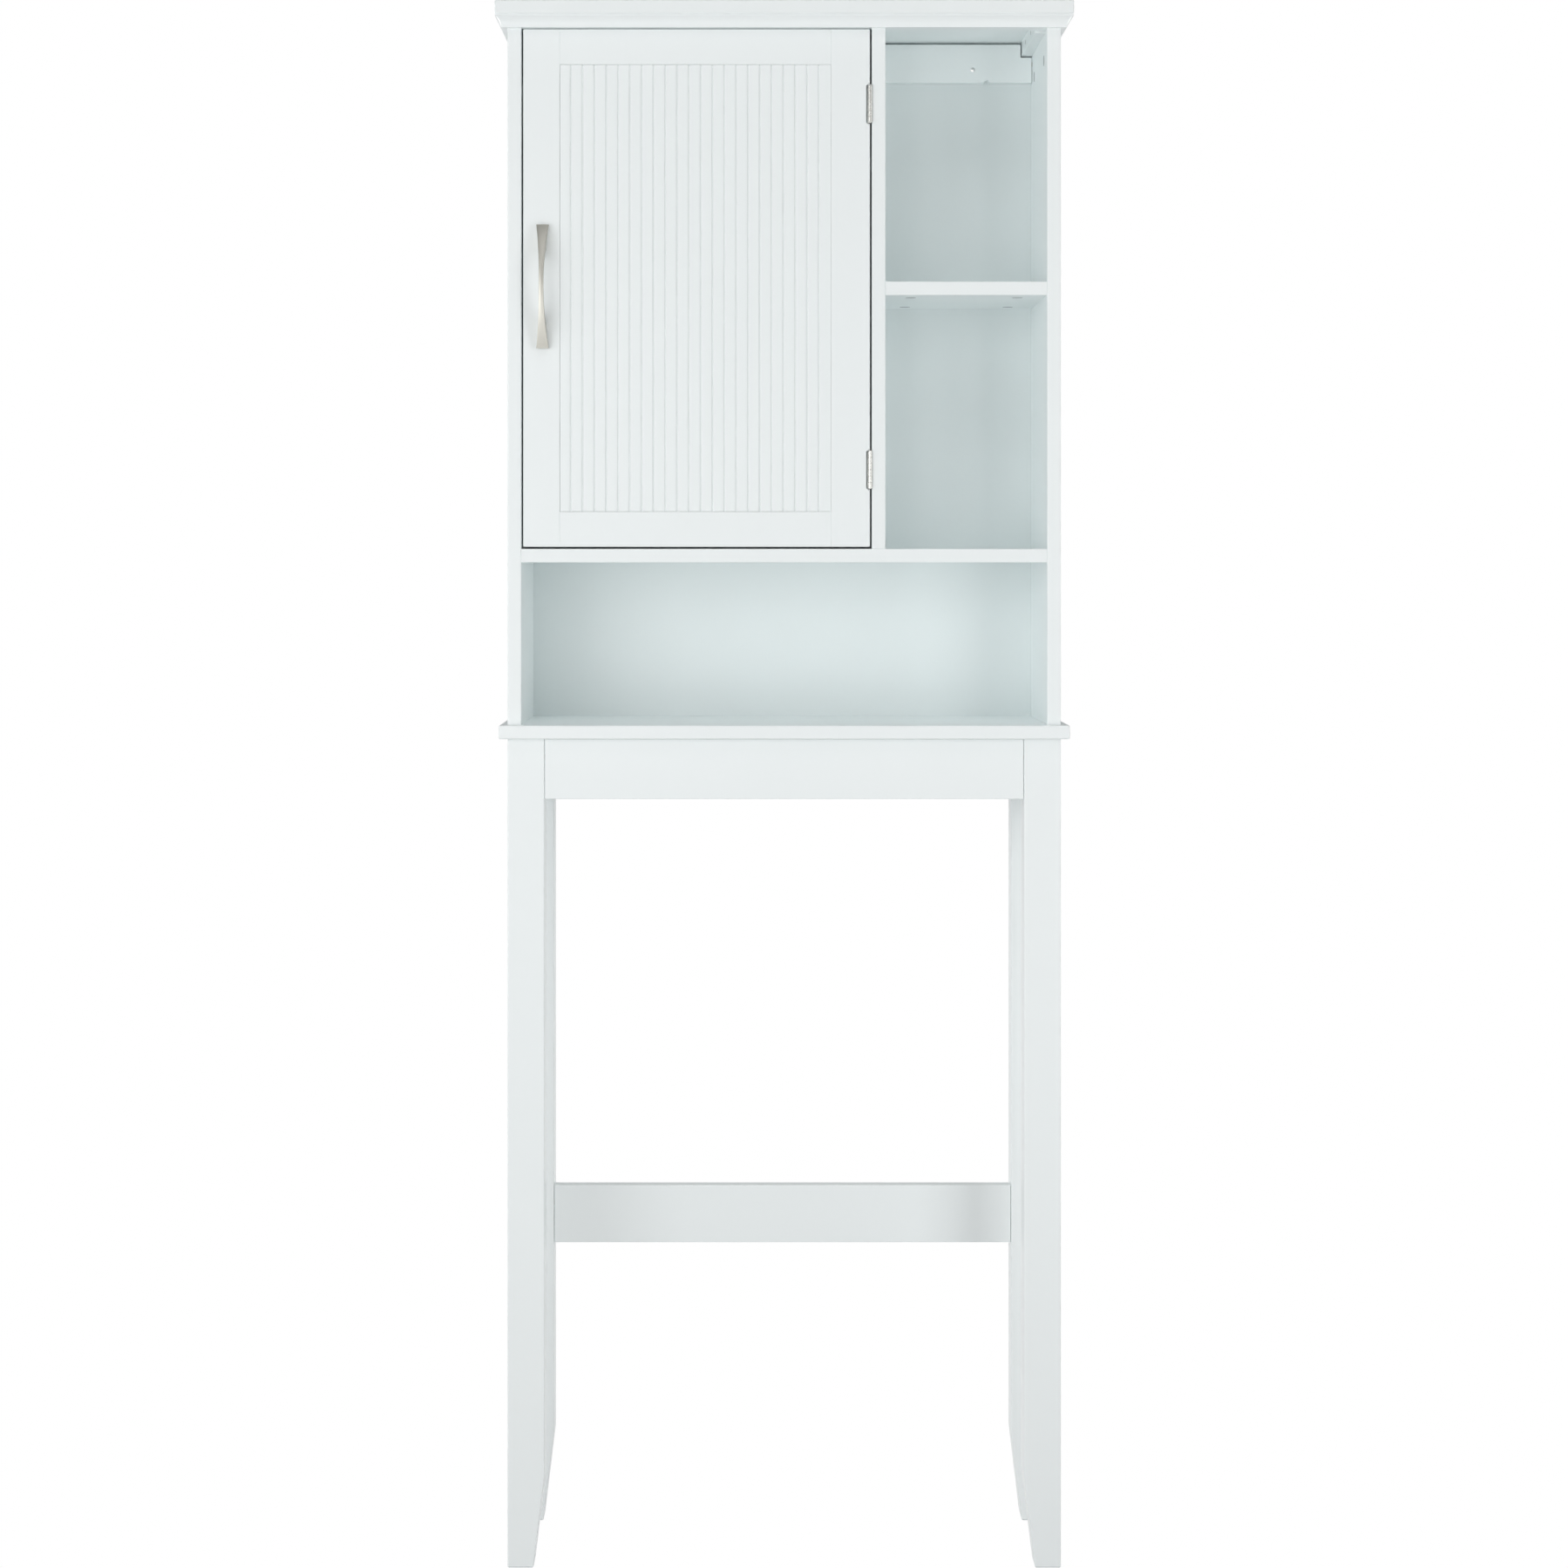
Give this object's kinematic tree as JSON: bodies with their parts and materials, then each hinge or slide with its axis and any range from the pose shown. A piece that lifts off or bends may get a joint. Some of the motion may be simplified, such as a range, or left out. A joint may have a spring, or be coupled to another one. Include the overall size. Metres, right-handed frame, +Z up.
{
  "type": "over the toilet storage rack",
  "caption": "Tall white bathroom cabinet on open legs that stands over a toilet, with a beaded cupboard door, open shelves and a cubby.",
  "frame": {"origin": "on the floor, under the middle of the whole rack's box", "axes": "+Z up, -Y the front with the door, +X to the right seen from the front"},
  "size_m": [0.626, 0.218, 1.698],
  "materials": {
    "white_paint": "satin white paint on fibreboard",
    "white_hardboard": "white faced hardboard",
    "satin_nickel": "satin nickel",
    "hinge_nickel": "nickel plate",
    "plated_steel": "nickel plated steel",
    "zinc_steel": "zinc plated steel",
    "cast_zinc": "bare zinc casting",
    "beech": "bare beech",
    "white_plastic": "moulded",
    "magnet_steel": "ground steel"
  },
  "bodies": {
    "root": {"back_apron": "white_paint", "back_panel": "white_hardboard", "base_top": "white_paint", "batten_screws": "zinc_steel", "cam_bolts": "zinc_steel", "cam_locks": "cast_zinc", "catch_case": "white_plastic", "catch_magnet": "magnet_steel", "catch_screws": "plated_steel", "cornice_front": "white_paint", "cornice_left": "white_paint", "cornice_right": "white_paint", "cupboard_shelf": "white_paint", "divider_panel": "white_paint", "front_apron": "white_paint", "front_top_rail": "white_paint", "hinge_frame_screws": "plated_steel", "joint_screws": "zinc_steel", "left_side_panel": "white_paint", "leg_back_left": "white_paint", "leg_back_right": "white_paint", "leg_front_left": "white_paint", "leg_front_right": "white_paint", "lower_hinge_frame_leaf": "hinge_nickel", "lower_hinge_pin": "hinge_nickel", "lower_stretcher": "white_paint", "middle_shelf": "white_paint", "open_shelf": "white_paint", "right_side_panel": "white_paint", "shelf_pins": "plated_steel", "side_apron_left": "white_paint", "side_apron_right": "white_paint", "top_batten_left": "white_paint", "top_batten_right": "white_paint", "top_board": "white_paint", "upper_hinge_frame_leaf": "hinge_nickel", "upper_hinge_pin": "hinge_nickel", "wall_rail": "white_paint", "wood_dowels": "beech"},
    "door": {"door_bead_panel": "white_paint", "door_bottom_rail": "white_paint", "door_handle_stile": "white_paint", "door_hinge_stile": "white_paint", "door_top_rail": "white_paint", "handle": "satin_nickel", "handle_screws": "plated_steel", "hinge_door_screws": "plated_steel", "lower_hinge_door_leaf": "hinge_nickel", "strike_plate": "plated_steel", "strike_screw": "plated_steel", "upper_hinge_door_leaf": "hinge_nickel"}
  },
  "joints": [
    {"name": "door_hinge", "type": "hinge", "parent": "root", "child": "door", "pos_m": [0.0933, -0.0822, 1.38875], "axis": [0, 0, 1], "range_deg": [0, 170]}
  ]
}
